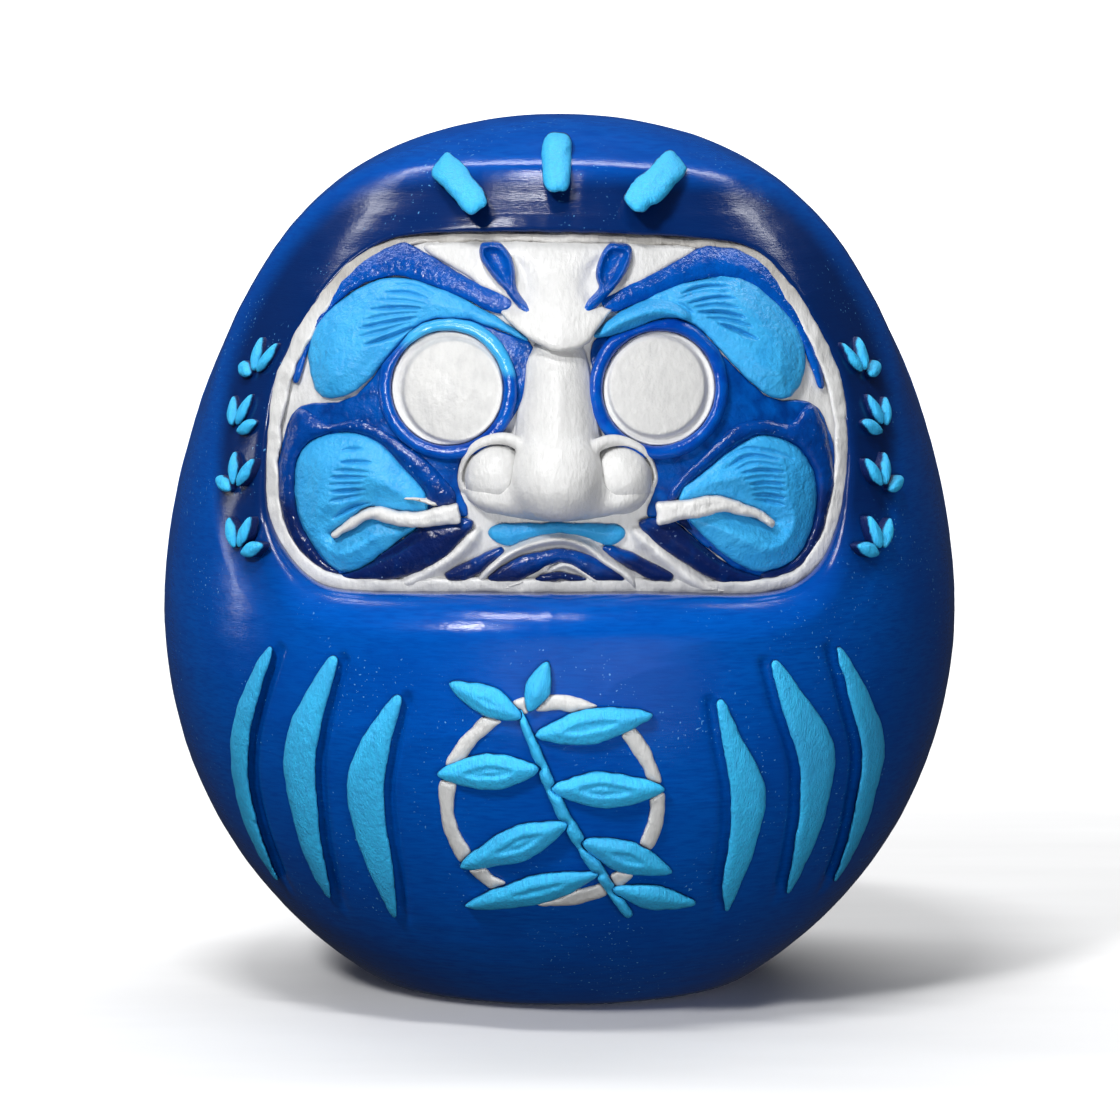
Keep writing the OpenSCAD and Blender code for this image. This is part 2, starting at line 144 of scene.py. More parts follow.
def along(points, x, z):
    """Distance to a smooth curve, and how far along it the nearest point is, from 0 to 1."""
    p = curve(points)
    best = np.full(np.shape(x), 1e9)
    place = np.zeros(np.shape(x))
    for i in range(len(p) - 1):
        a, d = p[i], p[i + 1] - p[i]
        t = np.clip(((x - a[0]) * d[0] + (z - a[1]) * d[1]) / (d @ d + 1e-9), 0, 1)
        gap = np.hypot(x - a[0] - t * d[0], z - a[1] - t * d[1])
        closer = gap < best
        best = np.where(closer, gap, best)
        place = np.where(closer, (i + t) / (len(p) - 1), place)
    return best, place


def stroke(points, width, x, z, fade=0.25):
    """Soft ridge of height 1 along a curve, thinning out at both ends."""
    gap, place = along(points, x, z)
    ends = np.clip(np.minimum(place, 1 - place) / fade, 0, 1) ** 0.5 if fade else 1.0
    return np.exp(-(gap / (width * np.maximum(ends, 0.2))) ** 2) * ends


# ---- Body and face surfaces ----
def body_profile():
    """Radius, height and tilt of the outward normal, from the crown down to the foot."""
    way = [np.array([cos(radians(a)), sin(radians(a))]) for a in ARC_TURN]
    centre = np.array([0.0, HEIGHT - ARC_R[0]])
    rows, steps, last = [], 160, len(ARC_R) - 1
    for i, r in enumerate(ARC_R):
        if i:
            centre = centre + (ARC_R[i - 1] - r) * way[i]
        for a in np.linspace(ARC_TURN[i], ARC_TURN[i + 1], steps, endpoint=i == last):
            rows.append((centre[0] + r * cos(radians(a)), centre[1] + r * sin(radians(a)), a))
    return np.array(rows)


PROFILE = body_profile()
UP = PROFILE[::-1]                           # the same rows from the foot up, for np.interp


def body_r(z):
    """Radius of the body at a height."""
    return np.interp(z, UP[:, 1], UP[:, 0])


def body_tilt(z):
    """Angle of the outward normal above the horizontal, in radians."""
    return np.radians(np.interp(z, UP[:, 1], UP[:, 2]))


def body_gap(x, y, z):
    """Distance above the body's surface, near it."""
    return (np.hypot(x, y) - body_r(z)) * np.cos(body_tilt(z))


def face_gap(x, y, z):
    """Distance above the face ball."""
    return np.sqrt((x - FACE_C[0]) ** 2 + (y - FACE_C[1]) ** 2 + (z - FACE_C[2]) ** 2) - FACE_R


def body_y(x, z):
    """Front surface of the body at a place in the front view."""
    return -np.sqrt(np.maximum(body_r(z) ** 2 - x ** 2, 0))


def face_y(x, z):
    """Front surface of the face ball at a place in the front view."""
    return FACE_C[1] - np.sqrt(np.maximum(FACE_R ** 2 - x ** 2 - (z - FACE_C[2]) ** 2, 1))


# ---- Outlines from the CAD nodes ----
def turned(co, angle):
    """Points turned round the vertical axis by an angle in degrees."""
    c, s = cos(radians(angle)), sin(radians(angle))
    x, y = co[:, 0] * c - co[:, 1] * s, co[:, 0] * s + co[:, 1] * c
    return np.column_stack([x, y, co[:, 2]])


def outline(node, turn=0):
    """Front-view edge of a node, as segments (x, z): the borders of its front-facing triangles."""
    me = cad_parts[node].data
    me.calc_loop_triangles()
    co = np.empty(len(me.vertices) * 3)
    me.vertices.foreach_get("co", co)
    tri = np.empty(len(me.loop_triangles) * 3, np.int32)
    me.loop_triangles.foreach_get("vertices", tri)
    co, tri = turned(co.reshape(-1, 3) / MM, -turn), tri.reshape(-1, 3)
    _, first, same = np.unique(np.round(co, 3), axis=0, return_index=True, return_inverse=True)
    co, tri = co[first], same.reshape(-1)[tri]
    n = np.cross(co[tri[:, 1]] - co[tri[:, 0]], co[tri[:, 2]] - co[tri[:, 0]])
    n /= np.linalg.norm(n, axis=1)[:, None] + 1e-12
    tri = tri[n[:, 1] < -0.2]
    edges = np.sort(np.vstack([tri[:, [0, 1]], tri[:, [1, 2]], tri[:, [2, 0]]]), axis=1)
    edges, uses = np.unique(edges, axis=0, return_counts=True)
    edges = edges[uses == 1]
    return np.hstack([co[edges[:, 0]][:, [0, 2]], co[edges[:, 1]][:, [0, 2]]])


def edge_distance(segments, x, z):
    """Signed distance to the outline, negative inside."""
    best = np.full(x.shape, 1e9)
    inside = np.zeros(x.shape, bool)
    for x0, z0, x1, z1 in segments:
        dx, dz = x1 - x0, z1 - z0
        t = np.clip(((x - x0) * dx + (z - z0) * dz) / (dx * dx + dz * dz + 1e-12), 0, 1)
        best = np.minimum(best, (x - x0 - t * dx) ** 2 + (z - z0 - t * dz) ** 2)
        if z0 != z1:
            inside ^= ((z0 > z) != (z1 > z)) & (x < dx * (z - z0) / dz + x0)
    return np.where(inside, -1, 1) * np.sqrt(best)


def soften(field, times):
    """Blurs a map a little, which rounds the corners of an outline."""
    for _ in range(times):
        f = np.pad(field, 1, mode="edge")
        field = (f[1:-1, 1:-1] * 2 + f[:-2, 1:-1] + f[2:, 1:-1] + f[1:-1, :-2] + f[1:-1, 2:]) / 6
    return field


def plan(node, step, margin=2.0, turn=0, blur=3, wobble=0.22, seed=1):
    """Front-view grid over a node: x, z and the signed distance to its hand-cut outline."""
    seg = outline(node, turn)
    low = np.minimum(seg[:, :2].min(0), seg[:, 2:].min(0)) - margin
    high = np.maximum(seg[:, :2].max(0), seg[:, 2:].max(0)) + margin
    x, z = np.meshgrid(np.arange(low[0], high[0], step), np.arange(low[1], high[1], step),
                       indexing="ij")
    d = soften(edge_distance(seg, x, z), blur)
    return x, z, d + wobble * fractal(3.5, seed, x, z)


def sample(x, z, field, px, pz):
    """Value of a gridded map at points."""
    step = x[1, 0] - x[0, 0]
    u = np.clip((px - x[0, 0]) / step, 0, field.shape[0] - 1.001)
    v = np.clip((pz - z[0, 0]) / step, 0, field.shape[1] - 1.001)
    i, j = u.astype(int), v.astype(int)
    f, g = u - i, v - j
    return (field[i, j] * (1 - f) * (1 - g) + field[i + 1, j] * f * (1 - g)
            + field[i, j + 1] * (1 - f) * g + field[i + 1, j + 1] * f * g)


# ---- Meshes ----
def make(name, points, faces, attributes, material, nodes):
    """Mesh object from millimetre points, riding on the doll and standing for its CAD nodes."""
    me = bpy.data.meshes.new(name)
    me.vertices.add(len(points))
    me.vertices.foreach_set("co", (np.asarray(points, np.float32) * MM).ravel())
    count = faces.shape[1]
    me.loops.add(faces.size)
    me.loops.foreach_set("vertex_index", faces.astype(np.int32).ravel())
    me.polygons.add(len(faces))
    me.polygons.foreach_set("loop_start", np.arange(len(faces), dtype=np.int32) * count)
    me.polygons.foreach_set("use_smooth", np.ones(len(faces), bool))
    me.update(calc_edges=True)
    me.validate()
    for key, values in attributes.items():
        me.attributes.new(key, "FLOAT", "POINT").data.foreach_set(
            "value", np.asarray(values, np.float32))
    me.materials.append(material)
    obj = bpy.data.objects.new(name, me)
    bpy.context.scene.collection.objects.link(obj)
    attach(obj, "root")
    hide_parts(*nodes)


def surface(low, step, field):
    """Points and outward quads of the zero surface of a distance field on a grid."""
    band = 3.0                               # cells on each side of the surface
    grid = openvdb.FloatGrid(background=band)
    grid.copyFromArray(np.clip(field / step, -band, band).astype(np.float32), tolerance=0.0)
    points, quads = grid.convertToQuads(isovalue=0.0)
    points = np.asarray(points, float) * step + low
    a, b, c = (points[quads[:, k]] for k in (0, 1, 2))
    if np.einsum("ij,ij->i", a, np.cross(b, c)).sum() < 0:
        quads = quads[:, ::-1]
    return points, np.asarray(quads)


def volume(low, high, step):
    """Grid coordinates that fill a box."""
    axes = [np.arange(low[k], high[k] + step, step) for k in range(3)]
    return np.meshgrid(*axes, indexing="ij", sparse=True)


def relief(node, material, top, on=face_gap, edge=1.0, step=0.32, sink=0.7, turn=0,
           paint=None, wobble=0.22, blur=3, seed=1, trim=None):
    """A raised piece: the node's outline, a thickness map top(x, z, d) and edges rounded by edge.

    d is the signed distance to the outline, and trim(x, z, d) may change it a little before use.
    The piece stands on the face ball or on the plain body, which has none of the shell's dips,
    and goes down into it by sink. turn carries it round the body. paint(x, z, lift, inner) gives
    the paint map: lift is the height as a part of the thickness, and inner is the distance in
    from the outline.
    """
    x, z, d = plan(node, step, turn=turn, wobble=wobble, blur=blur, seed=seed)
    if trim:
        d = trim(x, z, d)
    thick = top(x, z, d) + 0.05 * fractal(1.6, seed + 9, x, z)
    inside = d < 1
    base = face_y(x, z) if on is face_gap else body_y(x, z)
    low_y, high_y = base[inside].min() - thick.max() - 1, base[inside].max() + sink + 1
    y = np.arange(low_y, high_y, step)
    x3, z3, y3 = x[:, None, :], z[:, None, :], y[None, :, None]
    gap = on(x3, y3, z3)
    field = smax(d[:, None, :] + 0 * gap, gap - thick[:, None, :], edge)
    field = np.maximum(field, -(gap + sink))
    points, quads = surface(np.array([x[0, 0], low_y, z[0, 0]]), step, field)
    px, py, pz = points.T
    lift = on(px, py, pz) / np.maximum(sample(x, z, thick, px, pz), 0.3)
    inner = -sample(x, z, d, px, pz)
    mix = np.zeros(len(px)) if paint is None else paint(px, pz, lift, inner)
    if turn:
        points = turned(points, turn)
    make(node, points, quads, {"paint": mix, "lift": lift, "inner": inner}, material, [node])


# ---- Materials ----
def nodes_of(name):
    """A new material, its node tree and its shader."""
    mat = bpy.data.materials.new(name)
    mat.use_nodes = True
    tree = mat.node_tree
    return mat, tree, tree.nodes["Principled BSDF"]


def link(tree, a, out, b, socket):
    """Joins an output of node a to an input of node b."""
    tree.links.new(a.outputs[out], b.inputs[socket])


def noise(tree, scale, detail=3.0, stretch=(1, 1, 1), rough=0.55):
    """Noise in object space; stretch gives brush streaks."""
    place = tree.nodes.new("ShaderNodeTexCoord")
    mapping = tree.nodes.new("ShaderNodeMapping")
    mapping.inputs["Scale"].default_value = stretch
    link(tree, place, "Object", mapping, "Vector")
    n = tree.nodes.new("ShaderNodeTexNoise")
    n.inputs["Scale"].default_value = scale
    n.inputs["Detail"].default_value = detail
    n.inputs["Roughness"].default_value = rough
    link(tree, mapping, "Vector", n, "Vector")
    return n


def spread(tree, source, out, low, high, to_low=0.0, to_high=1.0):
    """Stretches the part of a value between low and high over a new range."""
    m = tree.nodes.new("ShaderNodeMapRange")
    for key, v in (("From Min", low), ("From Max", high), ("To Min", to_low), ("To Max", to_high)):
        m.inputs[key].default_value = v
    link(tree, source, out, m, "Value")
    return m


def result(mix):
    """Colour output of a mix node."""
    return [o for o in mix.outputs if o.type == "RGBA"][0]


def blend(tree, factor, a, b):
    """Mix of two colours; a and b are colours or nodes with a Result output."""
    m = tree.nodes.new("ShaderNodeMix")
    m.data_type = "RGBA"
    tree.links.new(factor.outputs[0], m.inputs["Factor"])
    for key, v in (("A", a), ("B", b)):
        sockets = [s for s in m.inputs if s.name == key and s.type == "RGBA"]
        if isinstance(v, tuple):
            sockets[0].default_value = (*v, 1)
        else:
            tree.links.new(result(v), sockets[0])
    return m


def product(tree, a, b):
    """The two nodes' values multiplied."""
    m = tree.nodes.new("ShaderNodeMath")
    m.operation = "MULTIPLY"
    tree.links.new(a.outputs[0], m.inputs[0])
    tree.links.new(b.outputs[0], m.inputs[1])
    return m


def attribute(tree, key):
    """A map stored on the mesh, kept between 0 and 1."""
    a = tree.nodes.new("ShaderNodeAttribute")
    a.attribute_name = key
    return spread(tree, a, "Fac", 0.0, 1.0)


def add_bump(tree, bsdf, source, out, strength, depth):
    """Surface texture on the shader; depth is in millimetres."""
    b = tree.nodes.new("ShaderNodeBump")
    b.inputs["Strength"].default_value = strength
    b.inputs["Distance"].default_value = depth * MM
    link(tree, source, out, b, "Height")
    link(tree, b, "Normal", bsdf, "Normal")


def paint(name, main, second, streak, rough, gloss, bump, grit, coat=0.0, glint=None,
          stretch=(1, 1, 1)):
    """Brushed paint: a main colour that turns into a second one where the piece's paint map says,
    with streaks of a third, uneven gloss, brush marks and grit in the bump, and pale painted
    glints."""
    mat, tree, bsdf = nodes_of(name)
    streaks = noise(tree, 260, 4, stretch)
    cloud = noise(tree, 45, 3)
    tint = blend(tree, spread(tree, streaks, "Fac", 0.42, 0.66, 0.0, 0.7), main, streak)
    tint = blend(tree, spread(tree, cloud, "Fac", 0.42, 0.66, 0.0, 0.55), tint, streak)
    tint = blend(tree, attribute(tree, "paint"), tint, second)
    # Painted glints: pale specks scattered over the paint, standing in for sparkles of light on its
    # grain
    if glint:
        dots = noise(tree, 1500, 1)
        area = noise(tree, 60, 2)
        spots = product(tree, spread(tree, dots, "Fac", 0.70, 0.76),
                        spread(tree, area, "Fac", 0.5, 0.62))
        tint = blend(tree, spots, tint, glint)
    tree.links.new(result(tint), bsdf.inputs["Base Color"])
    shine = noise(tree, 120, 4)
    tree.links.new(spread(tree, shine, "Fac", 0.3, 0.7, rough * 0.8, rough * 1.3).outputs[0],
                   bsdf.inputs["Roughness"])
    bsdf.inputs["Specular IOR Level"].default_value = gloss
    bsdf.inputs["Coat Weight"].default_value = coat
    bsdf.inputs["Coat Roughness"].default_value = 0.12
    fine = noise(tree, 900, 3, rough=0.6)
    brush = noise(tree, 500, 3, stretch)
    both = tree.nodes.new("ShaderNodeMath")
    both.operation = "MULTIPLY_ADD"
    link(tree, fine, "Fac", both, 0)
    both.inputs[1].default_value = grit
    link(tree, brush, "Fac", both, 2)
    add_bump(tree, bsdf, both, "Value", bump, 0.4)
    return mat


PAINTS = {
    "body": paint("body blue", BLUE, BLUE_DARK, (0.0, 0.055, 0.34), rough=0.17, gloss=0.34,
                  bump=0.11, grit=0.5, glint=(0.10, 0.35, 0.70), stretch=(1, 1, 8)),
    "white": paint("white paint", WHITE, SHADE, (0.60, 0.60, 0.595), rough=0.36, gloss=0.42,
                   bump=0.55, grit=0.5, coat=0.10, stretch=(3, 1, 1)),
    "eye": paint("eye white", (0.64, 0.64, 0.63), WHITE, (0.52, 0.52, 0.52), rough=0.45,
                 gloss=0.4, bump=0.45, grit=0.8, stretch=(2, 1, 1)),
    "sky": paint("sky blue paint", SKY, NAVY, SKY_DARK, rough=0.36, gloss=0.30, bump=0.75,
                 grit=1.2),
    "stripe": paint("stripe sky blue", SKY_LIT, NAVY, SKY, rough=0.40, gloss=0.25, bump=0.65,
                    grit=0.9, stretch=(6, 6, 1)),
    "ring": paint("ring blue", MID, SKY, (0.0, 0.030, 0.30), rough=0.20, gloss=0.35, bump=0.50,
                  grit=0.7, coat=0.1),
    "mid": paint("relief blue", MID, WHITE, (0.0, 0.045, 0.28), rough=0.16, gloss=0.32,
                 bump=0.75, grit=0.9, glint=(0.30, 0.50, 0.80)),
    "navy": paint("relief navy", (0.000, 0.060, 0.33), NAVY, (0.000, 0.030, 0.20), rough=0.18,
                  gloss=0.40, bump=0.70, grit=0.8, coat=0.1, glint=(0.30, 0.45, 0.75)),
    "flat": paint("pad blue", (0.0, 0.080, 0.39), NAVY, (0.0, 0.018, 0.15), rough=0.24,
                  gloss=0.3, bump=0.55, grit=0.7),
}


# ---- Thickness maps ----
def level(h, dome=0.0, reach=4.0):
    """Even thickness with a crown of height dome towards the middle."""
    return lambda x, z, d: h + dome * ramp(-d, 0, reach)


def grooved(h, dome, reach, lines, depth, width, extra=None):
    """A crowned thickness with wrinkles pressed in along lines, every second one deeper."""
    def top(x, z, d):
        t = h + dome * ramp(-d, 0, reach) + 0.18 * fractal(7, 3, x, z)
        for k, line in enumerate(lines):
            t = t - depth * (0.8 + 0.4 * (k % 2)) * stroke(line, width, x, z, 0.35)
        return t + (extra(x, z, d) if extra else 0)
    return top


LEFT_BROW = [
    [(-34, 147), (-29, 147), (-24, 145)], [(-35, 145.6), (-30, 145.6), (-25.5, 144.5)],
    [(-37, 144.2), (-31, 144.1), (-26, 143.6)], [(-38, 142.3), (-32, 142.8), (-27, 142.8)],
    [(-39, 140.2), (-33.7, 141.3), (-28, 142)], [(-39.8, 138.6), (-33.6, 140), (-28, 141)],
    [(-40.6, 136.8), (-34.8, 138.3), (-29, 140.1)], [(-38.8, 135.4), (-33, 137.3), (-28.5, 139.2)],
]
RIGHT_BROW = [
    [(24.7, 147.6), (29.6, 148.3), (35, 147.9)], [(23.8, 145.5), (28.3, 146.8), (33.6, 146.9)],
    [(23, 144.4), (28, 145.8), (34, 145.8)], [(25, 143.7), (30.3, 144.7), (35, 144.6)],
    [(26, 142.9), (31, 143.4), (36, 142.6)], [(27, 142), (32, 141.9), (37, 140.8)],
    [(29, 140.9), (33.5, 140.4), (38.6, 138.9)], [(31, 139.9), (34.7, 138.5), (39.6, 136.4)],
]
LEFT_CHEEK = [
    [(-43, 115), (-38.4, 115.4)], [(-43.4, 112.7), (-36.7, 112.9)], [(-44.7, 111), (-37.4, 111)],
    [(-45.3, 109.6), (-37.8, 110)], [(-45.5, 108.2), (-38.2, 108.7)],
    [(-45.3, 106.8), (-38, 107.5)], [(-45.5, 104.9), (-38.4, 106.5)],
    [(-44.9, 101.4), (-41, 103.8), (-37, 105)],
]
RIGHT_CHEEK = [
    [(31.3, 112.8), (36.2, 115.4), (42.3, 114.6), (46.5, 113)],
    [(32.6, 111.9), (37.4, 114.1), (43.6, 113.1)], [(34, 111.2), (38.2, 112.7), (44.4, 111.8)],
    [(35, 110.8), (40, 111.3), (44.4, 110.7)], [(36, 109.7), (40, 110), (44.6, 109.5)],
    [(37, 108.6), (40.7, 108.8), (44.6, 108.3)], [(37.6, 107.5), (41, 107.6), (44.6, 107)],
    [(37.8, 106.5), (41, 106.3), (44.6, 105.6)], [(38.2, 105.5), (41.5, 105), (44.4, 104.2)],
]
LEAF_STALKS = {"left": [(-9.5, 146.2), (-7, 143.2), (-4.3, 140.6)],
               "right": [(8.2, 146), (5.8, 143.6), (3, 141)]}
CREST_HOOKS = {"left": [(-14, 143.6), (-11, 142.7), (-8.6, 143.9)],
               "right": [(13, 144.4), (10, 143.4), (7.6, 144.6)]}
BROW_CREASE = [(9, 141), (13, 143.3), (18, 144.6), (23, 143.8), (26.6, 141.5)]
BROW_ROLL = [(7.3, 137.5), (12.1, 140.8), (17.4, 142.3), (22.2, 142), (25.8, 140.2)]


def eye_dish(centre, shift, inner_r):
    """A shallow dish with a slightly domed disc that lies a little off its centre."""
    def top(x, z, d):
        r = np.hypot(x - centre[0] - shift[0], z - centre[1] - shift[1])
        disc = ramp(inner_r - r, -0.35, 0.55)
        return 0.9 + 0.5 * ramp(d, -1.0, 0.0) + disc * (1.25 + 0.5 * (1 - (r / inner_r) ** 2))
    return top


def spoon(x, z, d):
    """A leaf with a raised rim, a hollow middle and a rounded stalk."""
    return 2.9 + 0.8 * np.exp(-((-d - 0.7) / 0.45) ** 2) - 0.7 * ramp(-d, 1.0, 2.4)


def hooked(line, width, x, z, d):
    """An outline joined by a thin stroke that ends in a bulb."""
    gap, place = along(line, x, z)
    return smin(d, gap - width * (0.8 + 0.5 * ramp(place, 0.75, 0.95)), 0.5)


def forehead(x, z, d):
    """Soft skin folded over the bridge of the nose, with two folds rising between the brows."""
    fold = 3.6 * ramp(-z, -150, -137) * np.exp(-(x / 16) ** 4)
    ridge = 1.2 * np.exp(-((x - 0.5) / 4.5) ** 2) * ramp(-z, -156, -143)
    dents = 0.9 * (stroke([(-9, 153), (-6.5, 147), (-9.5, 141)], 1.5, x, z)
                   + stroke([(8, 153), (5.5, 147), (9, 141)], 1.5, x, z))
    return 1.4 + fold + ridge - dents + 0.15 * fractal(4, 21, x, z)


# ---- Face pieces ----
BRIDGE = ((NOSE_X, -58.5, 134), (NOSE_X, -67.5, 113), 4.6, 7.8)    # ends and their radii
NOSE_TIP = (NOSE_X, -70.5, 109.6, 8.6, 0.95)                       # centre, radius, flattening
NOSE_SIDES = ((-12.2, -65.8, 106.6), (11.4, -65.8, 106.6), 6.3, 6.3)
NOSE_FOOT, WING_FOOT = 101.8, 102.3                                # undersides
CURL_R = 1.15


def nose_field(x, y, z):
    """Bridge, tip, cheeks of the nose and the raised curls round the wings."""
    def ball(cx, cy, cz, r, squash):
        return np.sqrt((x - cx) ** 2 + (y - cy) ** 2 + ((z - cz) / squash) ** 2) - r

    def bar(a, b, ra, rb):
        a, b = np.array(a, float), np.array(b, float)
        d = b - a
        t = np.clip(((x - a[0]) * d[0] + (y - a[1]) * d[1] + (z - a[2]) * d[2]) / (d @ d), 0, 1)
        gap = np.sqrt((x - a[0] - t * d[0]) ** 2 + (y - a[1] - t * d[1]) ** 2
                      + (z - a[2] - t * d[2]) ** 2)
        return gap - ra - t * (rb - ra)

    f = bar(*BRIDGE)
    f = smin(f, ball(*NOSE_TIP), 5)
    f = smin(f, bar(*NOSE_SIDES), 3)
    px, pz, d = plan("nose", 0.5, margin=3.0, blur=4)
    d2 = sample(px, pz, d, x[:, :, 0] + 0 * z[:, 0, :], z[:, 0, :] + 0 * x[:, :, 0])[:, None, :]
    mound = smax(d2, face_gap(x, y, z) - 1.2 - 0.75 * np.maximum(-d2, 0), 1.2)
    f = smin(f, mound, 4)
    for curl in WING_CURLS.values():
        p = curve(curl, 5)
        for a, b in zip(p[:-1], p[1:]):
            f = smin(f, bar((a[0], a[2], a[1]), (b[0], b[2], b[1]), CURL_R, CURL_R), 0.5)
    return f


WING_CURLS = {                               # centre line of each raised curl, as (x, z, y)
    "left": [(-18.6, 106, -63.5), (-18.6, 111.5, -65), (-16.4, 116, -66.3), (-11.6, 118, -67.5),
             (-7.6, 117, -69.5), (-6.2, 113.5, -72)],
    "right": [(17.9, 106, -63.5), (17.9, 111, -65), (15.8, 115.4, -66.3), (11.2, 117.6, -67.5),
              (7.2, 116.8, -69.5), (5.2, 113.5, -72)],
}
WINGS = {"left": (-12.0, -65.6, 110.0), "right": (11.5, -65.6, 109.8)}
WING_R = (6.6, 6.8, 6.9)


def wing_field(side, x, y, z, grow=0.0):
    """Rounded nostril wing, larger by grow where the nose makes room for it."""
    c = WINGS[side]
    r = [(v + grow) for v in WING_R]
    q = np.sqrt(((x - c[0]) / r[0]) ** 2 + ((y - c[1]) / r[1]) ** 2 + ((z - c[2]) / r[2]) ** 2)
    return (q - 1) * min(r)


def build_nose():
    """The nose with a pocket for each wing, and the two wings."""
    step = 0.36
    low, high = np.array([-22.0, -84.0, 98.0]), np.array([21.0, -52.0, 140.0])
    x, y, z = volume(low, high, step)
    core = nose_field(x, y, z)
    core = smax(core, NOSE_FOOT + 0.012 * (x - NOSE_X) ** 2 - z, 2.5)
    for side in WINGS:
        slot = wing_field(side, x, y, z, 0.35) + 2.2 * ramp(-z, -110.5, -105.0)
        core = smax(core, -slot, 0.5)
    core = core + 0.06 * fractal(5, 31, x, z)
    core = np.maximum(core, -(face_gap(x, y, z) + 0.6))
    points, quads = surface(low, step, core)
    make("nose", points, quads, under_nose(points), PAINTS["white"], ["nose"])
    for side in WINGS:
        f = wing_field(side, x, y, z) + 0.10 * fractal(4, 33, x, z)
        f = smax(f, WING_FOOT - z, 1.5)
        f = np.maximum(f, -(face_gap(x, y, z) + 0.6))
        points, quads = surface(low, step, f)
        make(side + "_nostril_wing", points, quads, under_nose(points), PAINTS["white"],
             [side + "_nostril_wing"])


def under_nose(points):
    """A little shade on the underside of the nose."""
    z = points[:, 2]
    return {"paint": 0.12 * ramp(-z, -104, -101.5), "lift": np.ones(len(z)),
            "inner": np.ones(len(z))}


def ring_paint(x, z, lift, inner):
    """Sky blue along the top of the left ring, deep blue elsewhere."""
    a = ramp(z + 0.25 * (x + 22) + 1.2 * fractal(3, 5, x, z), 131.5, 135)
    return a * ramp(lift, 0.3, 0.7) * (x < 0)


def dark_sides(x, z, lift, inner):
    """The brush covers the top only, so the sides stay dark."""
    ragged = 0.22 * fractal(1.6, 7, x, z)
    return 1 - ramp(lift + ragged, 0.45, 0.72)


def dark_foot(x, z, lift, inner):
    """A dark line where the piece meets the face."""
    return 0.75 * (1 - ramp(lift + 0.15 * fractal(1.6, 8, x, z), 0.12, 0.4))


def navy_below(z0, z1):
    """The lower end is navy: the change starts at height z0 and is complete at z1."""
    return lambda x, z, lift, inner: np.clip(
        ramp(-z + 1.5 * fractal(4, 11, x, z), -z0, -z1) + 0.2 * fractal(2, 12, x, z), 0, 1)


def build_face():
    """All the pieces inside the opening."""
    sky, mid, navy, white = (PAINTS[k] for k in ("sky", "mid", "navy", "white"))
    relief("forehead_pad", white, forehead, edge=1.6, sink=1.0, seed=2)
    relief("left_brow_fan", sky,
           grooved(1.8, 1.8, 5.5, LEFT_BROW, 1.0, 0.45), edge=1.5, step=0.25, paint=dark_foot,
           seed=3)
    relief("right_brow_fan", sky,
           grooved(1.8, 1.6, 5.5, RIGHT_BROW, 1.1, 0.40,
                   lambda x, z, d: 1.6 * stroke(BROW_ROLL, 1.5, x, z, 0.12)
                   - 0.7 * stroke(BROW_CREASE, 0.5, x, z, 0.12)),
           edge=1.3, step=0.25, paint=dark_foot, seed=4)
    for side, lines, s in (("left", LEFT_CHEEK, 5), ("right", RIGHT_CHEEK, 6)):
        relief(side + "_cheek_fan", sky,
               grooved(1.9, 1.8, 6.5, lines, 0.95, 0.42), edge=1.6, step=0.25,
               paint=dark_foot, seed=s)
        relief(side + "_cheek_pad", PAINTS["flat"], level(0.9), edge=0.5,
               seed=s + 2)
        relief(side + "_cheek_ridge", navy, level(2.1, 0.5, 2.5), edge=1.6,
               blur=16, paint=navy_below(112, 100), seed=s + 4)
        relief(side + "_brow_crest", mid, level(1.5, 0.6, 3), edge=1.1,
               trim=lambda x, z, d: hooked(CREST_HOOKS[side], 0.9, x, z, d - 0.7), seed=s + 6)
        relief(side + "_brow_leaf", mid, spoon, edge=0.8, step=0.26,
               wobble=0.15, blur=9, trim=lambda x, z, d: hooked(LEAF_STALKS[side], 1.05, x, z, d),
               seed=s + 8)
        relief(side + "_eye_ring", PAINTS["ring"], level(2.9), edge=1.7,
               paint=ring_paint, wobble=0.12, seed=s + 10)
        relief(side + "_whisker", white, whisker_top, edge=0.8, step=0.26,
               wobble=0.45, blur=2, trim=lambda x, z, d: d - 0.55 * ramp(-abs(x), -42, -24),
               seed=s + 12)
        relief(side + "_moustache", navy, moustache_top, edge=1.1,
               paint=navy_below(104, 99), seed=s + 14)
        relief(side + "_beard_bar", navy, level(1.7, 0.5, 1.5), edge=0.9, step=0.26,
               paint=navy_below(97, 93), seed=s + 16)
    for side, eye in EYES.items():
        relief(side + "_eye_disc", PAINTS["eye"],
               eye_dish(eye, EYE_SHIFT[side], EYE_DISC_R[side]), edge=0.5, wobble=0.08,
               paint=lambda x, z, lift, inner: ramp(-inner, -1.4, -0.7), seed=30)
    # Painted shade: the lip's top, just under the nose, is a little darker navy
    relief("upper_lip", sky, level(1.3, 0.5, 2), edge=0.9, step=0.26,
           paint=lambda x, z, lift, inner: 0.3 * ramp(z, 99.5, 101.5), seed=31)
    for node in ("beard_arch", "beard_tuft"):
        relief(node, navy, level(1.7, 0.5, 1.5), edge=0.9, step=0.26,
               paint=navy_below(96, 91), seed=32)
    build_nose()
    build_plate()
    build_rim()


def whisker_top(x, z, d):
    """A thick, slightly crowned strip."""
    return 3.9 + 0.35 * ramp(-d, 0, 1.2) + 0.3 * fractal(3, 41, x, z)


def moustache_top(x, z, d):
    """A crowned strip with one crease along each side's middle."""
    creases = stroke([(-48, 90.5), (-36, 93.5), (-26, 99.5)], 0.5, x, z)
    creases = creases + stroke([(47, 89.5), (34, 92.5), (25, 98.5)], 0.5, x, z)
    return 2.1 + 0.8 * ramp(-d, 0, 3) + 0.35 * fractal(6, 43, 0.4 * x, z) - 0.8 * creases


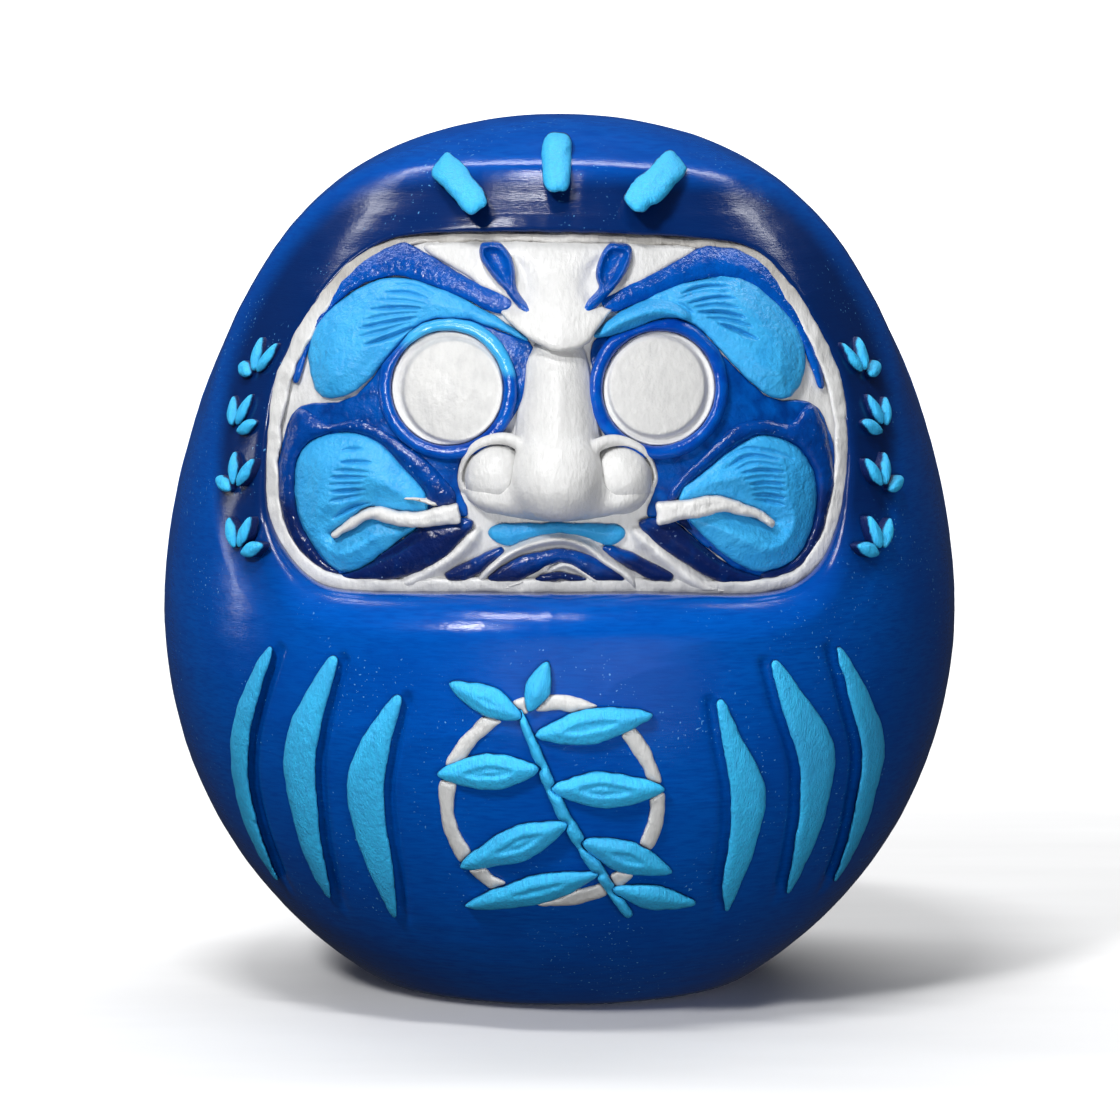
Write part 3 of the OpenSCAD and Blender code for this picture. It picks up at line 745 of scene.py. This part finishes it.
WHITE_RIDGES = [                             # raised white lines round the mouth
    ([(-15.4, 100.5), (-20.6, 95.1), (-26.3, 91.3), (-32, 88)], 1.7, 2.2),
    ([(14.1, 100.5), (18.9, 96), (23.7, 91.8), (28.6, 88.4), (35, 86.2)], 1.8, 2.4),
    ([(-17.6, 88), (-13.4, 92.6), (-9.2, 95.9), (-3.8, 97.9), (1, 98.4), (5.2, 96.9), (8.7, 94.2),
      (13.4, 90.8), (15.5, 87.5)], 0.9, 2.6),
    ([(-2.2, 92), (1, 93.4), (4.5, 91.9), (8.5, 89)], 0.6, 1.9),
    ([(-11, 88.6), (-6.6, 90.3)], 0.5, 1.9),
    ([(-31, 106.2), (-27.4, 105.9), (-23.5, 104.8)], 0.45, 4.1),
]


def build_plate():
    """The white face surface, with the raised lines between the beard pieces."""
    step = 0.4
    x, z, d = plan("face_plate", step, margin=1.0, wobble=0.0, blur=1)
    thick = 0.15 + 0.12 * fractal(6, 51, x, z) + 0.5 * ramp(-z, -90, -87)
    for line, width, height in WHITE_RIDGES:
        thick = np.maximum(thick, height * stroke(line, width, x, z, 0.12)
                           * (1 + 0.15 * fractal(3, 52, x, z)))
    y = face_y(x, z) - thick
    keep = d < -0.4
    cells = keep[:-1, :-1] & keep[1:, :-1] & keep[1:, 1:] & keep[:-1, 1:]
    index = np.arange(x.size).reshape(x.shape)
    quads = np.stack([index[:-1, :-1][cells], index[1:, :-1][cells], index[1:, 1:][cells],
                      index[:-1, 1:][cells]], axis=1)
    used, quads = np.unique(quads, return_inverse=True)
    points = np.stack([x.ravel()[used], y.ravel()[used], z.ravel()[used]], axis=1)
    # Painted shadow: the white turns darker near the top of the opening, under the hood's edge
    hood_shadow = 0.5 * ramp(d.ravel()[used], -2.5, 0) * ramp(points[:, 2], 135, 150)
    make("face_plate", points, quads.reshape(-1, 4), {"paint": hood_shadow}, PAINTS["white"],
         ["face_plate"])


def build_rim():
    """White lumpy band along the opening, between the face and the shell."""
    def top(x, z, d):
        side = ramp(abs(x), 30, 52)
        return 0.6 + 1.3 * side + 1.2 * ramp(-z, -96, -88) + 0.45 * fractal(5, 53, x, z)

    def trim(x, z, d):
        thin = 0.9 * ramp(z - 0.12 * abs(x), 138, 150)
        return d - 0.7 + 0.4 * thin

    # Painted shade: the rim turns darker towards the top, under the hood; it is also darker along
    # its foot
    relief("face_rim", PAINTS["white"], top, edge=1.0, sink=1.2, wobble=0.4, step=0.4,
           trim=trim, seed=54, paint=lambda x, z, lift, inner: np.clip(
               0.75 * ramp(z + 0.25 * abs(x), 152, 160) + 0.3 * (1 - ramp(lift, 0.2, 0.6)), 0, 1))


# ---- Body relief ----
STRIPS = ["hood_strip_left", "hood_strip_middle", "hood_strip_right"]
STRIPES = [f"{side}_{place}_stripe" for side in ("left", "right")
           for place in ("outer", "middle", "inner")]


def build_body_relief():
    """Hood strips, belly stripes, the badge and the side sprigs."""
    sky = PAINTS["stripe"]
    for k, node in enumerate(STRIPS):
        relief(node, sky, level(2.3, 0.6, 2.0), on=body_gap, edge=1.3, step=0.3,
               sink=2.5, paint=dark_sides, blur=22, wobble=0.5,
               trim=lambda x, z, d: d - 0.5, seed=60 + k)
    for k, node in enumerate(STRIPES):
        relief(node, sky, level(1.4, 0.35, 1.5), on=body_gap, edge=0.6, step=0.36,
               sink=1.5, paint=dark_sides, blur=12, seed=70 + k)
    relief("belly_ring", PAINTS["white"], level(0.8, 0.3, 1), on=body_gap, edge=0.6,
           sink=1.2, step=0.32, wobble=0.35, seed=80)
    relief("belly_leaves", sky, leaf_top, on=body_gap, edge=0.9, sink=1.2,
           paint=dark_sides, wobble=0.3, seed=81)
    relief("belly_stem", sky, level(2.0, 0.5, 1), on=body_gap, edge=0.8, sink=1.2,
           paint=dark_sides, wobble=0.25, seed=82)
    for side, turn in (("left", -SPRIG_TURN), ("right", SPRIG_TURN)):
        relief(side + "_side_sprigs", sky, level(1.3, 0.5, 1), on=body_gap, edge=0.7,
               sink=1.2, step=0.3, turn=turn, paint=dark_sides, seed=83)


def leaf_top(x, z, d):
    """A crowned leaf with a fine line inside its edge."""
    return 1.9 + 0.8 * ramp(-d, 0, 2.5) - 0.45 * np.exp(-((d + 3.0) / 0.5) ** 2)


# ---- Shells ----
def ray_hits(segments, centre, angles):
    """Distance from centre to the last segment crossed in each direction of the front view."""
    out = []
    for a in angles:
        ux, uz = cos(a), sin(a)
        x0, z0 = segments[:, 0] - centre[0], segments[:, 1] - centre[1]
        dx, dz = segments[:, 2] - segments[:, 0], segments[:, 3] - segments[:, 1]
        cross = ux * dz - uz * dx
        cross = np.where(abs(cross) < 1e-9, 1e-9, cross)
        t = (x0 * dz - z0 * dx) / cross
        s = (x0 * uz - z0 * ux) / cross
        good = t[(s >= -1e-6) & (s <= 1 + 1e-6) & (t > 0)]
        out.append(good.max() if len(good) else np.nan)
    out = np.array(out)
    bad = np.isnan(out)
    out[bad] = np.interp(np.flatnonzero(bad), np.flatnonzero(~bad), out[~bad])
    return out


def hand_made(x, y, z):
    """Slow unevenness of the moulded shell, with a faint ridge where its halves meet."""
    uneven = 0.22 * fractal(38, 91, x, y, z) + 0.05 * fractal(7, 92, x, y, z)
    brushed = 0.018 * grain(1.1, 93, z) + 0.02 * grain(2.2, 94, z + 0.03 * x)
    seam = 0.35 * np.exp(-(y / 0.9) ** 2) * ramp(-z, -150, -120)
    return uneven + brushed + seam


def normals(x, y, z):
    """Outward normal of the body at points on it."""
    r = np.maximum(np.hypot(x, y), 1e-6)
    tilt = body_tilt(z)
    return x / r * np.cos(tilt), y / r * np.cos(tilt), np.sin(tilt)


def build_front():
    """Front half: rows run from the opening's edge out to the seam, then a wall goes in to the
    face. It has a dip and a rolled edge round the opening, a hood fold above it and a groove
    beside each stripe."""
    columns, rows, blurs = 560, 138, 6
    seg = outline("face_plate")
    centre = OPENING_C
    angles = np.linspace(0, 2 * np.pi, columns, endpoint=False)
    inner = ray_hits(seg, centre, angles)
    for _ in range(blurs):
        inner = (np.roll(inner, 1) + 2 * inner + np.roll(inner, -1)) / 4
    inner = inner + 0.10 * grain(3.0, 95, np.cos(angles) * 50, np.sin(angles) * 50)
    ring = np.vstack([PROFILE[:, :2], PROFILE[::-1, :2] * (-1, 1)])
    outer = ray_hits(np.hstack([ring, np.roll(ring, -1, axis=0)]), centre, angles)
    edge = np.stack([centre[0] + inner * np.cos(angles), centre[1] + inner * np.sin(angles)], 1)

    t = np.linspace(0, 1, rows)[:, None]
    rho = inner + (outer - inner) * np.sin(t ** 1.15 * np.pi / 2)
    x, z = centre[0] + rho * np.cos(angles), centre[1] + rho * np.sin(angles)
    z = np.maximum(z, 0)
    y = body_y(x, z)
    y[-1] = np.where(z[-1] < 0.01, y[-1], 0)
    e = near_edge(edge, x, z)
    nx, ny, nz = normals(x, y, z)
    h = hand_made(x, y, z)
    theta = np.broadcast_to(angles, x.shape)
    top = ramp(np.sin(theta), 0.15, 0.6)
    low = ramp(-np.sin(theta), 0.25, 0.62)
    fold = FOLD_HIGH * np.exp(-((e - FOLD_OUT) / FOLD_WIDE) ** 2)
    h = h + fold * ramp(np.sin(theta), -0.1, 0.3) * ramp(-y, 2, 18)    # gone before the seam
    for node in STRIPES:
        h = h - groove_beside(node, x, z)
    roll_r = 1.2 + 7.0 * low + 1.5 * (1 - top) * (1 - low)
    recess = face_y(edge[:, 0], edge[:, 1]) - y[0]
    room = np.maximum(recess - roll_r - 1.5, 0)     # the dip stays in front of the face
    deep = np.minimum(8.5 * top + 4.5 * (1 - top) * (1 - low), room)
    hollow = deep * np.clip(1 - e / HOLLOW_OUT, 0, 1) ** 1.1
    k = np.clip(1 - e / roll_r, 0, 1)
    roll = roll_r * (1 - np.sqrt(np.maximum(1 - k ** 2, 0)))
    x, y, z = x + nx * h, y + ny * h + hollow + roll, z + nz * h
    z = np.maximum(z, 0)
    # Painted shade, partly a darker paint: the dip between the opening and the hood fold's crest
    # turns dark navy, except below the opening
    shade = 0.9 * ramp(-e, -FOLD_OUT, -8.0) * (1 - low)

    back = np.maximum(face_y(edge[:, 0], edge[:, 1]) + 2.0, y[0] + 1.0)
    wall = np.array([y[0] + (back - y[0]) * s for s in np.linspace(1, 0.2, 6)])
    x = np.vstack([np.broadcast_to(x[0], wall.shape), x])
    z = np.vstack([np.broadcast_to(z[0], wall.shape), z])
    y = np.vstack([wall, y])
    # Painted shade: the wall from the opening's edge back to the face is dark navy all over
    shade = np.vstack([np.full(wall.shape, 0.9), shade])
    on_floor = z[-1] < 0.05
    tuck = np.where(on_floor, BASE_TUCK, SEAM_TUCK)
    x, z = np.vstack([x, x[-1] * tuck]), np.vstack([z, z[-1]])
    y = np.vstack([y, np.where(on_floor, y[-1] * tuck, SEAM_LAP)])
    shade = np.vstack([shade, shade[-1]])
    points, quads = sheet(x, y, z, closed=True)
    make("front_shell", points, quads, {"paint": shade.ravel()}, PAINTS["body"],
         ["front_shell"])


def near_edge(edge, x, z):
    """Distance from grid points to the opening's edge, looking a few columns to each side."""
    best, reach = np.full(x.shape, 1e9), 24
    for j in range(len(edge)):
        near = np.arange(j - reach, j + reach + 1) % len(edge)
        gap = np.hypot(x[:, near] - edge[j, 0], z[:, near] - edge[j, 1])
        best[:, near] = np.minimum(best[:, near], gap)
    return best


def groove_beside(node, x, z):
    """Shallow channel pressed beside a stripe, on the side of the belly."""
    gx, gz, d = plan(node, 0.4, margin=6.0, wobble=0.1)
    shift, depth = 1.9, 0.9
    side = -1 if gx.mean() < 0 else 1
    box = (x > gx.min()) & (x < gx.max()) & (z > gz.min()) & (z < gz.max())
    out = np.zeros(x.shape)
    px, pz = x[box], z[box]
    shifted = sample(gx, gz, d, px + side * shift, pz)
    own = sample(gx, gz, d, px, pz)
    out[box] = depth * ramp(-shifted, -0.6, 0.8) * ramp(own, -0.8, 0.3)
    return out


def sheet(x, y, z, closed=False):
    """Points and quads of a grid of rows and columns."""
    rows, columns = x.shape
    index = np.arange(rows * columns).reshape(rows, columns)
    right = np.roll(index, -1, axis=1)
    quads = np.stack([index[:-1], index[1:], right[1:], right[:-1]], axis=-1)
    if not closed:
        quads = quads[:, :-1]
    return np.stack([x.ravel(), y.ravel(), z.ravel()], axis=1), quads.reshape(-1, 4)


def build_back():
    """Back half: the profile carried round from one side to the other."""
    columns, rows = 260, 230
    length = np.concatenate([[0], np.cumsum(np.hypot(*np.diff(PROFILE[:, :2], axis=0).T))])
    s = np.linspace(0, length[-1], rows)
    r = np.interp(s, length, PROFILE[:, 0])[:, None]
    z = np.interp(s, length, PROFILE[:, 1])[:, None]
    a = np.linspace(0, np.pi, columns)[None, :]
    x, y = r * np.cos(a), r * np.sin(a)
    z = z + 0 * x
    nx, ny, nz = normals(x, y, z)
    h = hand_made(x, y, z)
    x, y, z = x + nx * h, y + ny * h, np.maximum(z + nz * h, 0)
    x, y = np.vstack([x, x[-1] * BASE_TUCK]), np.vstack([y, y[-1] * BASE_TUCK])
    z = np.vstack([z, z[-1]])
    points, quads = sheet(x, y, z)
    make("back_shell", points, quads[:, ::-1], {"paint": np.zeros(len(points))}, PAINTS["body"],
         ["back_shell"])


# ---- Plain materials for the hidden CAD nodes ----
def matt(name, colour, dark, scale):
    """Fibrous matt material with a second, darker colour."""
    mat, tree, bsdf = nodes_of(name)
    fibres = noise(tree, scale, 6, (1, 4, 1))
    tint = blend(tree, spread(tree, fibres, "Fac", 0.35, 0.7), colour, dark)
    tree.links.new(result(tint), bsdf.inputs["Base Color"])
    bsdf.inputs["Roughness"].default_value = 0.85
    add_bump(tree, bsdf, fibres, "Fac", 0.35, 0.5)
    return mat


def dress(node, material):
    """Gives a CAD node its material."""
    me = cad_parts[node].data
    me.materials.clear()
    me.materials.append(material)


# ---- Studio ----
def build_studio():
    """Pale floor that curves up behind the doll, five area lamps and a dim world, in metres."""
    floor_mat = matt("floor", (0.86, 0.86, 0.86), (0.82, 0.82, 0.82), 8)
    half, front, depth, curl, high = 3.0, -2.5, 2.2, 0.8, 3.0
    rows = [(front, 0.0), (0.0, 0.0), (depth - curl, 0.0)]
    rows += [(depth - curl + curl * sin(a), curl - curl * cos(a))
             for a in np.linspace(0.1, np.pi / 2, 14)]
    rows.append((depth, high))
    verts = [(x, y, z) for y, z in rows for x in (-half, half)]
    faces = [(2 * i, 2 * i + 1, 2 * i + 3, 2 * i + 2) for i in range(len(rows) - 1)]
    me = bpy.data.meshes.new("floor")
    me.from_pydata(verts, [], faces)
    me.polygons.foreach_set("use_smooth", [True] * len(me.polygons))
    me.materials.append(floor_mat)
    floor = bpy.data.objects.new("floor", me)
    bpy.context.scene.collection.objects.link(floor)
    floor.visible_glossy = floor.visible_diffuse = False

    doll, backdrop = Vector((0, 0, 0.1)), Vector((0, 2.2, 0.6))
    lamps = [                                # place, width, height, power, what it lights
        ("key", (-0.70, -1.22, 1.12), 0.24, 0.24, 18.5, doll),
        ("strip", (-0.20, -0.52, 1.30), 0.40, 0.10, 8, doll),
        ("side", (-1.3, 0.30, 0.20), 0.14, 0.30, 0.9, doll),
        ("bounce", (0.06, -0.36, 0.01), 0.36, 0.18, 1.0, doll),
        ("back", (0.0, 0.9, 1.9), 3.2, 1.0, 110, backdrop),
    ]
    for name, place, w, h, power, target in lamps:
        data = bpy.data.lights.new(name, "AREA")
        data.shape, data.size, data.size_y = "RECTANGLE", w, h
        data.energy = power
        obj = bpy.data.objects.new(name, data)
        obj.location = place
        obj.rotation_euler = (target - Vector(place)).to_track_quat("-Z", "Y").to_euler()
        if name == "bounce":
            obj.visible_camera = obj.visible_glossy = False
        bpy.context.scene.collection.objects.link(obj)

    world = bpy.data.worlds.new("world")
    world.use_nodes = True
    sky = world.node_tree.nodes["Background"]
    sky.inputs["Color"].default_value = (0.75, 0.8, 0.9, 1)
    sky.inputs["Strength"].default_value = 0.04
    bpy.context.scene.world = world
    bpy.context.scene.view_settings.view_transform = "Standard"


def build_camera():
    """Seen from 1.1 m in front, slightly above the middle of the doll."""
    distance, lift, middle = 1.1, radians(5.67), HEIGHT / 2 * MM
    data = bpy.data.cameras.new("camera")
    data.sensor_width, data.lens = 36.0, 169.9
    data.shift_x, data.shift_y = 0.0004, -0.0109
    data.clip_start, data.clip_end = 0.05, 20
    cam = bpy.data.objects.new("camera", data)
    back = Vector((0, -cos(lift), sin(lift)))
    cam.location = Vector((0, 0, middle)) + back * distance
    cam.rotation_euler = (-back).to_track_quat("-Z", "Y").to_euler()
    bpy.context.scene.collection.objects.link(cam)
    bpy.context.scene.camera = cam


build_face()
build_body_relief()
build_front()
build_back()
dress("base_plate", matt("cardboard", (0.42, 0.33, 0.22), (0.33, 0.25, 0.16), 180))
dress("ballast_weight", matt("clay", (0.30, 0.19, 0.12), (0.22, 0.13, 0.08), 90))
build_studio()
build_camera()
